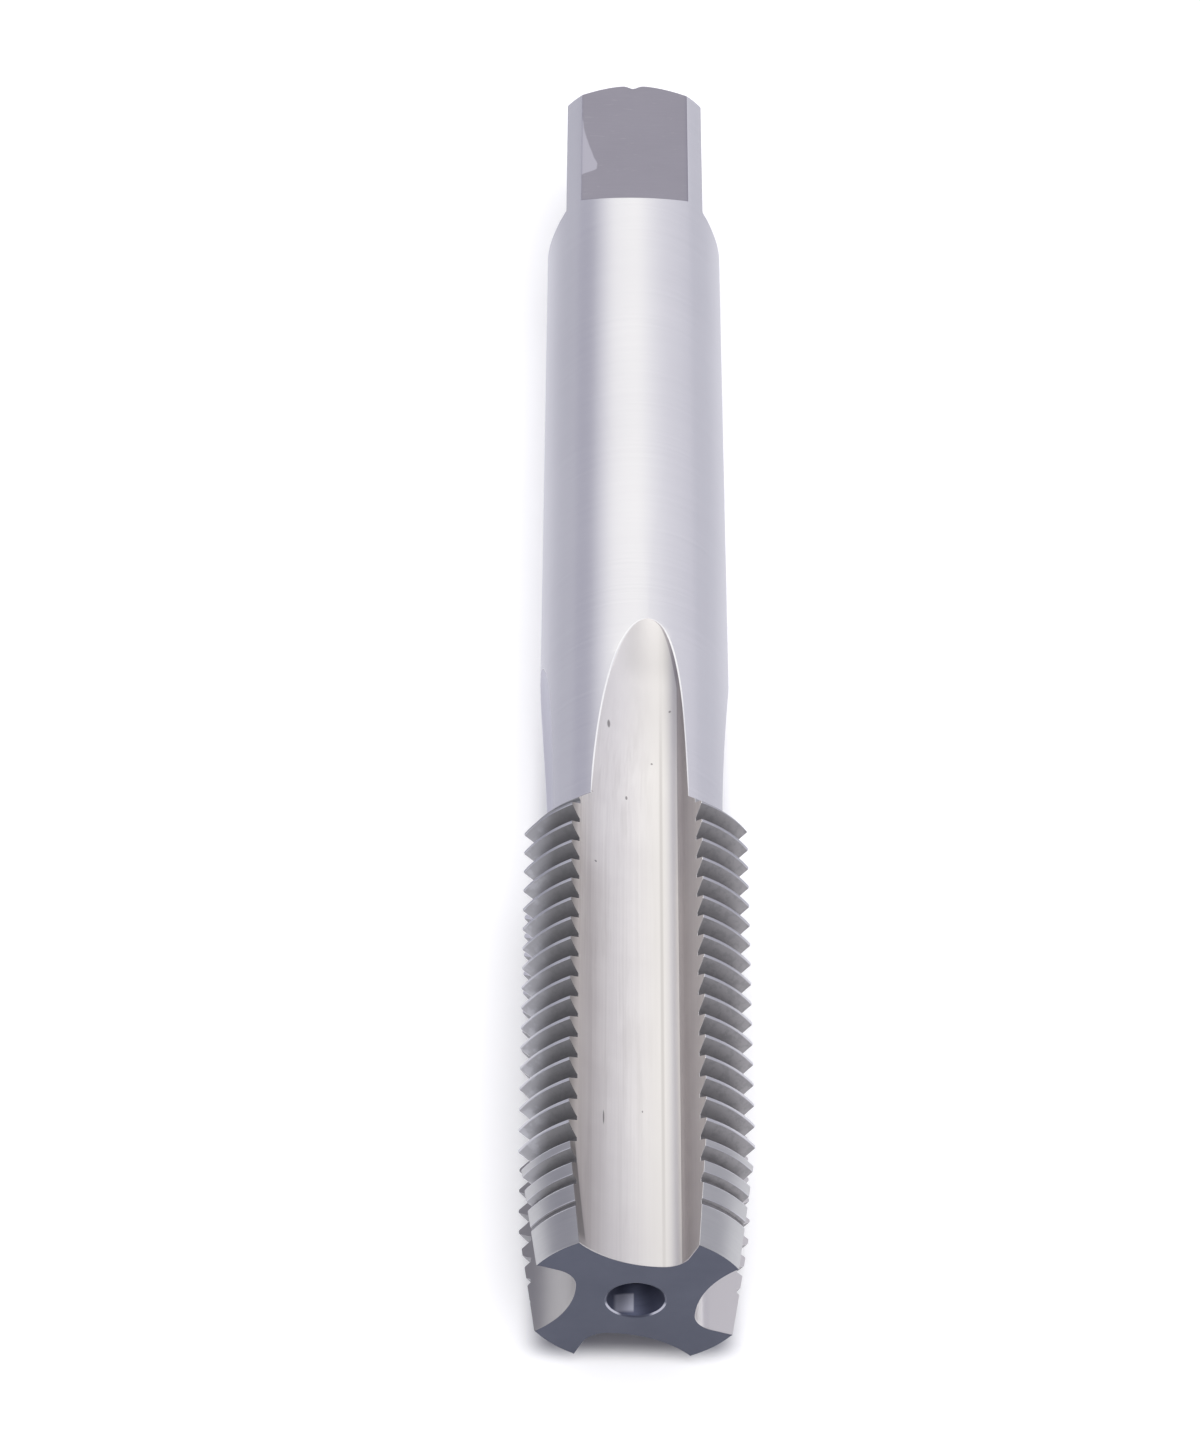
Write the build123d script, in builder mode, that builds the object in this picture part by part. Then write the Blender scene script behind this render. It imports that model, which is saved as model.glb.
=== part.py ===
"""A straight-flute hand tap, M16 x 1.5, right-hand, ground from one piece of tool steel.

The tap lies on its side with one flute down and one up. Its axis runs along Y, the
cutting tip points to -Y and the driving square to +Y. The lowest crest edges touch
z = 0, and the origin is under the middle of the length. Millimetres.
"""

import math
import os

from build123d import *

os.makedirs("parts", exist_ok=True)

# ---- driving dimensions -------------------------------------------------------------
overall_length = 102.0  # tip face to square end
thread_diameter = 16.0  # outside diameter over the full crests
pitch = 1.5  # one turn of the thread
thread_length = 32.0  # tip face to the last full crest
tip_diameter = 13.5  # lead chamfer, at the tip face
lead_length = 7.6  # lead chamfer, along the axis
shank_diameter = 12.3
square_width = 9.7  # across the flats
square_length = 12.5  # length of the flats
square_foot_lean = 42.0  # end wall of a flat leans back from square by this, degrees
end_chamfer = 1.35  # square end, off the radius
end_chamfer_length = 1.1  # square end, along the axis
flute_count = 4
core_diameter = 7.0  # round the bottoms of the flutes
heel_radius = 6.2  # long arc on the trailing side of a flute
foot_radius = 1.55  # small arc at the foot of the cutting face
flute_half_angle = 30.0  # flute middle to the cutting edge, degrees
rake_angle = 8.0  # cutting face ahead of the radial line, degrees
flute_wheel_radius = 68.5  # grinding wheel that leaves the run-out
flute_straight_length = 29.5  # full-depth part of the flute, from the tip
centre_mouth_diameter = 3.5  # 60-degree lathe centres in both ends
centre_drill_diameter = 1.6
centre_depth = 3.4
crest_phase = 31.85  # a crest on the top of the tap stands this far from the tip

# ---- derived sizes ------------------------------------------------------------------
thread_radius = thread_diameter / 2
shank_radius = shank_diameter / 2
core_radius = core_diameter / 2
tip_radius = tip_diameter / 2
flank = math.tan(math.radians(30))
thread_depth = 0.6134 * pitch
root_radius = thread_radius - thread_depth
crest_flat = pitch / 8
shoulder = thread_radius - shank_radius  # 45-degree fall behind the thread
flute_step = 360 / flute_count
half_angle = math.radians(flute_half_angle)

# The flute's section, seen from the tip with the flute up. The cutting face is a straight
# line that leans back from the radius by the rake angle. The foot arc joins it to the
# bottom of the flute, where the long heel arc begins.
face_slope = math.radians(flute_half_angle - rake_angle)
along_x = math.sin(face_slope)
along_y = math.cos(face_slope)
edge_x = thread_radius * math.sin(half_angle)
edge_y = thread_radius * math.cos(half_angle)
foot_y = core_radius + foot_radius
foot_x = edge_x + (along_x * (foot_y - edge_y) - foot_radius) / along_y
heel_centre = (foot_x, core_radius + heel_radius)

# the heel arc meets the thread cylinder this high above the axis
heel_reach = math.hypot(heel_centre[0], heel_centre[1])
heel_along = (thread_radius**2 - heel_radius**2 + heel_reach**2) / (2 * heel_reach)
heel_across = math.sqrt(thread_radius**2 - heel_along**2)
heel_edge_y = (heel_along * heel_centre[1] + heel_across * heel_centre[0]) / heel_reach

# the tap lies on crest edges, so its axis stands this high
axis_height = max(heel_edge_y, edge_y)


def tip_view(station):
    """A plane square to the axis, seen from the tip: local x is +X and local y is up."""
    return Plane(
        origin=(0, station - overall_length / 2, axis_height),
        x_dir=(1, 0, 0),
        z_dir=(0, -1, 0),
    )


side_view = Plane(origin=(0, -overall_length / 2, axis_height), x_dir=(0, 1, 0), z_dir=(1, 0, 0))
tap_axis = Axis((0, 0, axis_height), (0, 1, 0))


# ---- one flute, as the grinding wheel cuts it ---------------------------------------
heel_turn = math.radians(80)
heel_middle = (
    heel_centre[0] - heel_radius * math.sin(heel_turn / 2),
    heel_centre[1] - heel_radius * math.cos(heel_turn / 2),
)
heel_end = (
    heel_centre[0] - heel_radius * math.sin(heel_turn),
    heel_centre[1] - heel_radius * math.cos(heel_turn),
)
wheel_top = max(thread_radius, heel_end[1]) + 1.0
heel_top = (heel_end[0] - (wheel_top - heel_end[1]) / math.tan(heel_turn), wheel_top)
reach = (wheel_top - edge_y) / along_y
face_top = (edge_x + reach * along_x, wheel_top)
foot_end = (foot_x + foot_radius * along_y, foot_y - foot_radius * along_x)
foot_turn = (math.pi / 2 - face_slope) / 2
foot_middle = (
    foot_x + foot_radius * math.sin(foot_turn),
    foot_y - foot_radius * math.cos(foot_turn),
)
bottom = (foot_x, core_radius)
wheel_height = axis_height + core_radius + flute_wheel_radius
wheel_exit = wheel_top - core_radius + 1.0
wheel_turn = math.degrees(math.acos(1 - wheel_exit / flute_wheel_radius))

with BuildPart() as flute:
    with BuildSketch(tip_view(flute_straight_length)) as flute_section:
        with BuildLine():
            Line(face_top, foot_end)
            ThreePointArc(foot_end, foot_middle, bottom)
            ThreePointArc(bottom, heel_middle, heel_end)
            Line(heel_end, heel_top)
            Line(heel_top, face_top)
        make_face()
    extrude(amount=flute_straight_length + 1.0)
    revolve(
        flute_section.sketch,
        axis=Axis((0, flute_straight_length - overall_length / 2, wheel_height), (1, 0, 0)),
        revolution_arc=wheel_turn,
    )

# ---- one flat of the square ---------------------------------------------------------
flat_foot = overall_length - square_length
flat_floor = square_width / 2
flat_top = shank_radius + 1
wall_run = (flat_top - flat_floor) * math.tan(math.radians(square_foot_lean))

with BuildPart() as flat:
    with BuildSketch(side_view):
        Polygon(
            (flat_foot, flat_floor),
            (flat_foot - wall_run, flat_top),
            (overall_length + 1, flat_top),
            (overall_length + 1, flat_floor),
            align=None,
        )
    extrude(amount=shank_radius + 1, both=True)

# ---- one short piece of the thread groove -------------------------------------------
# Each land is cut by short helical grooves, one to a turn. Every one is the same piece
# of a right-hand helix, carried round and along by the lead of the thread.
groove_angle = 50.0
groove_top = thread_radius + 0.1
groove_root_half = (pitch - crest_flat) / 2 - thread_depth * flank
groove_top_half = (pitch - crest_flat) / 2 + (groove_top - thread_radius) * flank

with BuildPart() as groove:
    with BuildLine() as groove_path:
        Helix(pitch, pitch * groove_angle / 360, thread_radius, direction=(0, 1, 0))
    with BuildSketch(Plane(origin=(0, 0, 0), x_dir=(0, 0, 1), z_dir=(-1, 0, 0))):
        Polygon(
            (root_radius, -groove_root_half),
            (root_radius, groove_root_half),
            (groove_top, groove_top_half),
            (groove_top, -groove_top_half),
            align=None,
        )
    sweep(path=groove_path.wires()[0], is_frenet=True)

groove_places = []
first_turn = -math.ceil(crest_phase / pitch) - 1
last_turn = math.ceil((thread_length + shoulder - crest_phase) / pitch) + 1
for land in range(flute_count):
    start_angle = (land + 0.5) * flute_step - groove_angle / 2
    for turn in range(first_turn, last_turn + 1):
        station = crest_phase + (turn + 0.5 + start_angle / 360) * pitch
        middle = station + pitch * groove_angle / 720
        lead_radius = tip_radius + (thread_radius - tip_radius) * middle / lead_length
        clears_lead = lead_radius + groove_root_half < root_radius
        clears_shoulder = middle - groove_root_half > thread_length + thread_depth
        if not clears_lead and not clears_shoulder:
            place = Location((0, station - overall_length / 2, axis_height), (0, start_angle, 0))
            groove_places.append(place)

# ---- the tap ------------------------------------------------------------------------
with BuildPart() as tap:
    # the turned blank: lead chamfer, thread cylinder, shoulder, shank, end chamfer
    with BuildSketch(side_view):
        Polygon(
            (0, 0),
            (0, tip_radius),
            (lead_length, thread_radius),
            (thread_length, thread_radius),
            (thread_length + shoulder, shank_radius),
            (overall_length - end_chamfer_length, shank_radius),
            (overall_length, shank_radius - end_chamfer),
            (overall_length, 0),
            align=None,
        )
    revolve(axis=tap_axis)

    # the two lathe centres
    mouth = centre_mouth_diameter / 2
    drill = centre_drill_diameter / 2
    cone_depth = (mouth - drill) / flank
    drill_point = drill * math.tan(math.radians(31))
    with BuildSketch(side_view):
        Polygon(
            (0, 0),
            (0, mouth),
            (cone_depth, drill),
            (centre_depth, drill),
            (centre_depth + drill_point, 0),
            align=None,
        )
        Polygon(
            (overall_length, 0),
            (overall_length, mouth),
            (overall_length - cone_depth, drill),
            (overall_length - centre_depth, drill),
            (overall_length - centre_depth - drill_point, 0),
            align=None,
        )
    revolve(axis=tap_axis, mode=Mode.SUBTRACT)

    # the driving square
    for side in range(4):
        add(flat.part.rotate(tap_axis, 90 * side), mode=Mode.SUBTRACT)

    # the flutes
    for land in range(flute_count):
        add(flute.part.rotate(tap_axis, flute_step * land), mode=Mode.SUBTRACT)

    # the thread
    with Locations(*groove_places):
        add(groove.part, mode=Mode.SUBTRACT)

tap.part.label = "tap"
export_step(tap.part, "parts/tap.step")
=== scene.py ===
# %% [markdown]
# # A hand tap, ground from one bar of tool steel
# A tap cuts the thread inside a hole. The real one starts as a turned bar between two
# lathe centres. Its square is milled, the bar is hardened, and then the shank, the
# flutes and the thread are ground. Each of those steps leaves its own surface, and this
# file follows them: first the frame and the sizes, then the shape, then one finish for
# each way that the steel was worked, and last the table, the lights and the camera.

import math
from functools import partial

import bmesh
import bpy
import numpy as np
from mathutils import Matrix, Vector
from mathutils.geometry import tessellate_polygon


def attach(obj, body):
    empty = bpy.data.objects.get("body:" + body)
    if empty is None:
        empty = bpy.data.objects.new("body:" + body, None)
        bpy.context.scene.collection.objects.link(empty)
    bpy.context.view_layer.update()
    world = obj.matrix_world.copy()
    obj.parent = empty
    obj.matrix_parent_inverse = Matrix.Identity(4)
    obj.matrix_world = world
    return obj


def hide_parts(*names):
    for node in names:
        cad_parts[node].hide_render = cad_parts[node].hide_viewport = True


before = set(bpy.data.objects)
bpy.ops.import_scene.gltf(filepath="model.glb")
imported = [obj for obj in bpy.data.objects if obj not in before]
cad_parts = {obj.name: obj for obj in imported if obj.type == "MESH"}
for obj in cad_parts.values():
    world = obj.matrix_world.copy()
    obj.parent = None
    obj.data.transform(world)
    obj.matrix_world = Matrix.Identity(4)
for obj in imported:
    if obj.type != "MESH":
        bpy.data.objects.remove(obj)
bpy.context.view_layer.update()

# %% [markdown]
# ## The sizes, in millimetres
# The tap is M16 x 1.5: sixteen millimetres over the crests, and one turn of thread every
# millimetre and a half. The sizes could be read off the imported mesh, but the numbers
# that a maker would work to are clearer, and every edge can then be placed exactly.
# A place along the tap is its station, measured from the tip.

# %% Sizes of the tap
overall_length = 102.0
thread_radius = 8.0
pitch = 1.5
thread_length = 32.0
tip_radius = 6.75
lead_length = 7.6
shank_radius = 6.15
flat_height = 4.85  # axis to each flat of the square
square_length = 12.5
square_foot_lean = 42.0  # degrees that a flat's end wall leans back from square
end_chamfer = 1.35  # off the radius
end_chamfer_length = 1.1  # along the axis
core_radius = 3.5
heel_radius = 6.2
foot_radius = 1.55
flute_half_angle = 30.0
rake_angle = 8.0
flute_wheel_radius = 68.5
flute_straight_length = 29.5
centre_mouth = 1.75
centre_drill = 0.8
centre_depth = 3.4
crest_phase = 31.85  # station of a crest on the top of the tap
flank = math.tan(math.radians(30))
thread_depth = 0.6134 * pitch
root_radius = thread_radius - thread_depth
root_half = (pitch - pitch / 8) / 2 - thread_depth * flank
shoulder_end = thread_length + thread_radius - shank_radius
lead_slope = (thread_radius - tip_radius) / lead_length
print("thread depth", round(thread_depth, 3), "mm")

# %% [markdown]
# ## One flute, as the wheel cuts it
# A flute has two sides. The cutting face is straight and leans a little back from the
# radius, which is the rake. A short foot arc turns into the long heel arc on the other
# side. The profile is kept as one dense line, so that any ring of the tap can find where
# it crosses the outside of the bar.

# %% The flute's profile
face_slope = math.radians(flute_half_angle - rake_angle)
along = np.array([math.sin(face_slope), math.cos(face_slope)])
half_angle = math.radians(flute_half_angle)
cutting_edge = thread_radius * np.array([math.sin(half_angle), math.cos(half_angle)])
foot_y = core_radius + foot_radius
foot_x = cutting_edge[0] + (along[0] * (foot_y - cutting_edge[1]) - foot_radius) / along[1]
heel_turn = np.radians(np.linspace(82, 0, 700))
foot_turn = np.linspace(0, math.pi / 2 - face_slope, 300)[1:]
heel = np.stack(
    [
        foot_x - heel_radius * np.sin(heel_turn),
        core_radius + heel_radius * (1 - np.cos(heel_turn)),
    ],
    1,
)
foot = np.stack(
    [foot_x + foot_radius * np.sin(foot_turn), foot_y - foot_radius * np.cos(foot_turn)], 1
)
face = foot[-1] + np.linspace(0, 4.5, 300)[1:, None] * along
profile = np.concatenate([heel, foot, face])
profile_run = np.concatenate([[0], np.cumsum(np.hypot(*np.diff(profile, axis=0).T))])
bottom_run = profile_run[len(heel) - 1]
foot_end_run = profile_run[len(heel) + len(foot) - 1]
print("the profile is", round(float(profile_run[-1]), 2), "mm long")

# %% [markdown]
# ## The wheel's run-out
# The grinding wheel is a big disc that rolls its shape into the bar. Where it stops, its
# round rim lifts the profile out of the steel, and that is what draws the long pointed
# run-out on the shank. The lift could be a separate boolean cut, but as a formula it
# costs nothing and leaves a clean edge.

# %% How the wheel lifts the flute
def lifted(height, station):
    """How high a line of the profile stands after the wheel has lifted it at a station."""
    past = np.maximum(station - flute_straight_length, 0)
    wheel = flute_wheel_radius + core_radius
    return wheel - np.sqrt((wheel - height) ** 2 - past**2)


def profile_at(run, station):
    """Points of the flute at a distance along its profile: across and height."""
    across = np.interp(run, profile_run, profile[:, 0])
    height = np.interp(run, profile_run, profile[:, 1])
    return across, lifted(height, station)


print("the wheel is", 2 * flute_wheel_radius, "mm across")

# %% [markdown]
# ## Where a flute leaves the bar
# The distance from the axis to each point of the profile is compared with the bar's
# radius. Going outwards from the deepest point, the first one beyond the bar and the
# last one inside it are found, and the crossing is placed between the two. The same
# comparison tells where the flutes end, and how high the axis stands.

# %% Where the profile crosses the bar
def crossing(radius, station, side):
    """Distance along the profile where it leaves a bar of that radius, for many rings."""
    high = lifted(profile[None, :, 1], np.asarray(station)[:, None])
    reach = np.hypot(profile[None, :, 0], high) - np.asarray(radius)[:, None]
    order, rows = np.arange(reach.shape[1]), np.arange(len(reach))
    deepest = np.argmin(reach, 1)[:, None]
    if side == "heel":
        beyond = (reach > 0) & (order < deepest)
        outer = len(order) - 1 - np.argmax(beyond[:, ::-1], 1)
        inner = outer + 1
    else:
        beyond = (reach > 0) & (order > deepest)
        outer = np.argmax(beyond, 1)
        inner = outer - 1
    inner = np.clip(inner, 0, len(order) - 1)
    above, below = reach[rows, outer], reach[rows, inner]
    share = np.clip(above / np.maximum(above - below, 1e-9), 0, 1)
    return profile_run[outer] + share * (profile_run[inner] - profile_run[outer])


heel_top = crossing(np.array([thread_radius]), np.array([0.0]), "heel")
axis_height = float(profile_at(heel_top, 0.0)[1][0])  # the tap lies on these edges
print("the axis stands", round(axis_height, 5), "mm above the table")

# %% Where the flutes end
tried = np.linspace(40, 55, 3001)
steel_left = [
    np.hypot(profile[:, 0], lifted(profile[:, 1], station)).min() - shank_radius
    for station in tried
]
run_out_end = float(np.interp(0, steel_left, tried))
print("the flutes run out", round(run_out_end, 2), "mm from the tip")

# %% [markdown]
# ## The outside of the bar, with its thread
# The turned blank is a few straight lines: the lead chamfer that starts the cut, the
# thread cylinder, the 45-degree shoulder and the shank. The thread is a V groove that
# winds round it to the right. Taking the lower of the two gives each tooth its true
# form, from the full crests to the cut-down teeth on the lead.

# %% The bar and the thread groove
least_flank = 0.02  # a cut-down tooth keeps this much of each flank, in length


def blank(station):
    """Radius of the turned bar before the thread is ground."""
    lead = tip_radius + lead_slope * station
    shoulder = thread_radius + thread_length - station
    return np.minimum(lead, np.minimum(thread_radius, np.maximum(shoulder, shank_radius)))


def winding(angle):
    """How far the thread has moved along the tap at an angle from the top, in degrees."""
    return pitch * angle / 360


def outside(station, angle):
    """Radius of the threaded bar."""
    turn = (station - crest_phase - winding(angle)) / pitch
    from_groove = np.abs(turn - np.floor(turn) - 0.5) * pitch
    groove = root_radius + np.maximum(from_groove - root_half, 0) / flank
    return np.minimum(blank(station), groove)


def rising_corner(groove, angle):
    """Where a groove's flank that climbs towards the shank meets the bar."""
    start = groove + winding(angle) + root_half
    depth = tip_radius - root_radius
    on_lead = (flank * depth + start) / (1 - flank * lead_slope)
    on_thread = start + flank * thread_depth
    on_shoulder = (flank * (thread_radius + thread_length - root_radius) + start) / (1 + flank)
    corner = np.minimum(on_lead, np.minimum(on_thread, on_shoulder))
    return np.maximum(corner, start + least_flank)


def falling_corner(groove, angle):
    """Where the flank that climbs towards the tip meets the bar."""
    start = groove + winding(angle) - root_half
    depth = tip_radius - root_radius
    on_lead = (start - flank * depth) / (1 + flank * lead_slope)
    on_thread = start - flank * thread_depth
    corner = np.maximum(on_lead, on_thread)
    return np.minimum(corner, start - least_flank)


print("root radius", round(root_radius, 3), "mm, shoulder ends at", shoulder_end, "mm")

# %% [markdown]
# ## Rings along the tap
# The mesh is a stack of rings. A plain stack would cut across the thread and leave
# ragged crests, so on the threaded part each ring climbs with the helix and lies exactly
# on an edge of the tooth: the corners of the crest, the flanks, and the root. Flat rings
# take over at the tip and on the shoulder. Every ring keeps the number of points, so
# that the rings join without any gap. A ring is kept as a line: a function that gives
# its station at each angle round the tap.

# %% Lines that a ring can follow
def eased(x):
    """A smooth rise from 0 to 1."""
    x = np.clip(x, 0, 1)
    return x * x * (3 - 2 * x)


def level_line(station, wound=0.0):
    """A line at one station, wound by a share of the thread's climb."""
    return lambda angle: station + wound * winding(angle)


def between(start, end, share):
    """A line part of the way from one line to another."""
    return lambda angle: start(angle) * (1 - share) + end(angle) * share


def shifted(line, shift):
    """A line beside another, moved along the tap."""
    return lambda angle: line(angle) + shift


print("the thread climbs", winding(90), "mm from one flute to the next")

# %% The list of rings
rings = []  # each is (name of the surface that follows it, its line)
lead_start = 1.6  # the flat rings of the tip are fully wound by here
first_groove = 2.0  # nearer the tip there is no room for a groove
corner_gap = 0.012  # from a corner of a crest to the rings that hold it
crest_margin, crest_start = 0.045, 0.03  # where a crest ends and begins beside its corners

for station in (0.0, 0.03, 0.4, 0.8, 1.2, lead_start):
    rings.append(("lead", level_line(station, float(eased(station / lead_start)))))

grooves = np.arange(crest_phase - pitch / 2, first_groove, -pitch)[::-1]
for groove in grooves:
    fall = partial(falling_corner, groove)
    rise = partial(rising_corner, groove)
    root_start = level_line(groove - root_half, 1.0)
    root_end = level_line(groove + root_half, 1.0)
    rings += [
        ("edge", shifted(fall, -crest_margin)),
        ("back flank", shifted(fall, corner_gap)),
        ("back flank", between(fall, root_start, 0.5)),
        ("root", root_start),
        ("flank", root_end),
        ("flank", between(root_end, rise, 0.33)),
        ("flank", between(root_end, rise, 0.67)),
        ("edge", shifted(rise, -corner_gap)),
        ("crest" if groove > lead_length - 1 else "lead", shifted(rise, crest_start)),
    ]

shoulder_step = 0.045
last_crest = grooves[-1] + root_half + flank * thread_depth
for station in np.arange(last_crest + 0.05, shoulder_end, shoulder_step):
    share = float((station - last_crest) / (shoulder_end - last_crest))
    rings.append(("shoulder", between(rise, level_line(shoulder_end), share)))

shank_stations = [shoulder_end, shoulder_end + 0.05]
shank_stations += list(np.arange(shoulder_end + 0.4, run_out_end - 1.0, 0.45))
run_out_steps = (0.8, 0.58, 0.4, 0.27, 0.17, 0.1, 0.055, 0.028, 0.012, 0.004, 0.001)
shank_stations += [run_out_end - step for step in run_out_steps]
rings += [("shank", level_line(float(station))) for station in shank_stations]
print("grooves:", len(grooves), "rings up to the end of the flutes:", len(rings))

# %% [markdown]
# ## From rings to points
# Round each ring there are four flutes and four lands. The corner between them moves
# with the height of the thread, so it is found by trying, correcting and trying again.
# A tiny flat is left at each corner, because no ground edge is perfectly sharp and that
# sliver is what catches the light along a real flute.

# %% Corners between the flutes and the lands
flute_centres = (0, 90, 180, -90)  # degrees from the top
first_guess = {"heel": -36.0, "rake": 30.0}  # degrees from the middle of a flute
corner_tries = 8


def stations(angles):
    """Station of every ring at the angle given for it."""
    return np.array([line(angle) for (_, line), angle in zip(rings, angles)])


def corner(centre, side):
    """Angle and distance along the profile where each ring meets one side of a flute."""
    turn_back = 360 if centre == 180 and side == "rake" else 0
    angle = np.full(len(rings), centre + first_guess[side] - turn_back)
    for _ in range(corner_tries):
        station = stations(angle)
        run = crossing(outside(station, angle), station, side)
        across, height = profile_at(run, station)
        angle = np.degrees(np.arctan2(across, height)) + centre - turn_back
    return angle, run


corners = {(c, side): corner(c, side) for c in flute_centres for side in ("heel", "rake")}
print("cutting edge at the tip:", round(float(corners[0, "rake"][0][0]), 2), "degrees")

# %% [markdown]
# ## Sharing out the points of a flute
# Points set at even distances would waste many on the straight face and leave the small
# foot arc rough. So the distance is stretched where the profile bends. The flute is
# also split at two marks that hold for every ring: where the polish ends on the foot
# arc, and where the straight face begins. The seam between two finishes then runs
# straight down the tap.

# %% Distances along the profile
flute_points, land_points = 40, 20  # across one flute, round one land
arc_points, foot_points = 27, 7  # of the flute's: on its arcs, and on the end of the foot
face_points = flute_points - arc_points - foot_points
ring_size = 4 * (flute_points + land_points)
least_foot, least_face = 0.06, 0.03  # shares of a flute kept for these in the run-out
polish_end_run = bottom_run + foot_radius * math.radians(41)
bend = np.abs(np.diff(np.unwrap(np.arctan2(*np.diff(profile, axis=0).T))))
stretched_run = profile_run + 2.0 * np.cumsum(np.concatenate([[0], bend, [0]]))


def flute_runs(start_run, end_run):
    """Distances along the profile for the points of a flute, one array for each point."""
    whole = end_run - start_run
    polish_end = np.minimum(polish_end_run, end_run - least_foot * whole)
    face_start = np.minimum(foot_end_run, end_run - least_face * whole)
    marks = (start_run, polish_end, face_start)
    first, second, third = (np.interp(run, profile_run, stretched_run) for run in marks)
    for step in range(arc_points):
        part = step / (arc_points - 1)
        yield np.interp(first + part * (second - first), stretched_run, profile_run)
    for step in range(1, foot_points + 1):
        part = step / foot_points
        yield np.interp(second + part * (third - second), stretched_run, profile_run)
    for step in range(1, face_points + 1):
        part = step / face_points
        yield face_start + part * (end_run - face_start)


print("points in a ring:", ring_size)

# %% Points of the fluted part
columns, last_angles = [], []  # a column holds one point of every ring
for index, centre in enumerate(flute_centres):
    heel_angle, heel_run = corners[centre, "heel"]
    face_angle, face_run = corners[centre, "rake"]
    top_stations = stations(np.zeros(len(rings)))
    edge_break = 0.012 + 0.05 * eased((top_stations - 33) / 3)  # finer on the thread
    edge_break = np.minimum(edge_break, 0.2 * (face_run - heel_run))
    turn = math.radians(centre)
    for run in flute_runs(heel_run + edge_break, face_run - edge_break):
        share = (run - heel_run) / (face_run - heel_run)
        station = stations(heel_angle + share * (face_angle - heel_angle))
        across, height = profile_at(run, station)
        x = across * math.cos(turn) + height * math.sin(turn)
        z = height * math.cos(turn) - across * math.sin(turn)
        columns.append(np.stack([x, station, z], 1))
        last_angles.append(np.degrees(np.arctan2(across[-1], height[-1])) + centre)
    next_centre = flute_centres[(index + 1) % 4]
    edge_turn = np.degrees(edge_break / shank_radius)
    start, end = face_angle + edge_turn, corners[next_centre, "heel"][0] - edge_turn
    for step in range(land_points):
        angle = start + step / (land_points - 1) * (end - start)
        station = stations(angle)
        radius = outside(station, angle)
        turned = np.radians(angle)
        columns.append(np.stack([radius * np.sin(turned), station, radius * np.cos(turned)], 1))
        last_angles.append(angle[-1])
fluted_rings = np.stack(columns, 1)
print("points so far:", fluted_rings.shape[0] * fluted_rings.shape[1])

# %% [markdown]
# ## The shank and the square
# Past the flutes the bar is round. The points of each ring slide slowly round it until
# they stand where the corners of the square need them. The square is a plain cut of four
# flats. Each ends in a wall that leans back, where the milling cutter ran out, and a
# turned chamfer takes the corners off the end.

# %% Where the points stand round the square
half_flat = math.degrees(math.acos(flat_height / shank_radius))
corner_break = 0.35  # degrees between the last point of a flat and of a round corner
square_start = overall_length - square_length
around_square = []
for centre in (0, 90, 180, 270):
    flat_end, round_end = half_flat - corner_break, 90 - half_flat - corner_break
    around_square += list(centre + np.linspace(-flat_end, flat_end, flute_points))
    around_square += list(centre + np.linspace(half_flat + corner_break, round_end, land_points))
around_square = np.array(around_square)
around_run_out = np.degrees(np.unwrap(np.radians(last_angles)))
from_flat = np.minimum(np.abs((around_square + 45) % 90 - 45), 45)
flat_cosine = np.cos(np.radians(from_flat))
print("half a flat takes", round(half_flat, 2), "degrees")

# %% Rings of the shank and the square
round_rings, round_surfaces = [], []


def add_round_ring(surface, station, radius, around):
    turn = np.radians(around)
    station = np.broadcast_to(station, turn.shape)
    radius = np.broadcast_to(radius, turn.shape)
    round_rings.append(np.stack([radius * np.sin(turn), station, radius * np.cos(turn)], 1))
    round_surfaces.append(surface)


for station in np.linspace(run_out_end + 0.1, square_start - 1.4, 26):
    share = eased((station - run_out_end - 1) / 32)
    around = around_run_out * (1 - share) + around_square * share
    add_round_ring("shank", station, shank_radius, around)

lean = math.tan(math.radians(square_foot_lean))
over_flat = np.maximum(shank_radius * flat_cosine - flat_height, 0)  # steel that is cut away
cut_start = square_start - 0.05 - over_flat * lean
add_round_ring("shank", cut_start - 0.02, shank_radius, around_square)
for share in (0.02, 0.1, 0.3, 0.5, 0.7, 0.9, 0.98):
    station = cut_start + (square_start - cut_start) * share
    cut = flat_height + np.maximum(square_start - station, 0) / lean
    add_round_ring("foot", station, np.minimum(shank_radius, cut / flat_cosine), around_square)

section = np.minimum(shank_radius, flat_height / flat_cosine)
end_radius = shank_radius - end_chamfer
chamfer_slope = end_chamfer_length / end_chamfer
chamfer_start = overall_length - (section - end_radius) * chamfer_slope
for share in (0.003, *np.linspace(0.04, 1, 8)):
    station = square_start + (chamfer_start - 0.02 - square_start) * share
    add_round_ring("square", station, section, around_square)
add_round_ring("chamfer", chamfer_start + 0.02, section - 0.02 / chamfer_slope, around_square)
add_round_ring("chamfer", overall_length - 0.012, end_radius + 0.01, around_square)
add_round_ring("face", overall_length, end_radius - 0.01, around_square)
add_round_ring("face", overall_length, end_radius - 0.7, around_square)
print("rings in all:", len(rings) + len(round_rings))

# %% [markdown]
# ## The tip's edge and the names of the surfaces
# The first ring is drawn in by a few hundredths of a millimetre, so that the tip's edge
# is not knife-sharp. Each face between two rings also gets the name of its finish here,
# from the ring before it and from its place round the tap. Doing it now, while the build
# knows what every face is, saves a search by position later.

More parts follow.
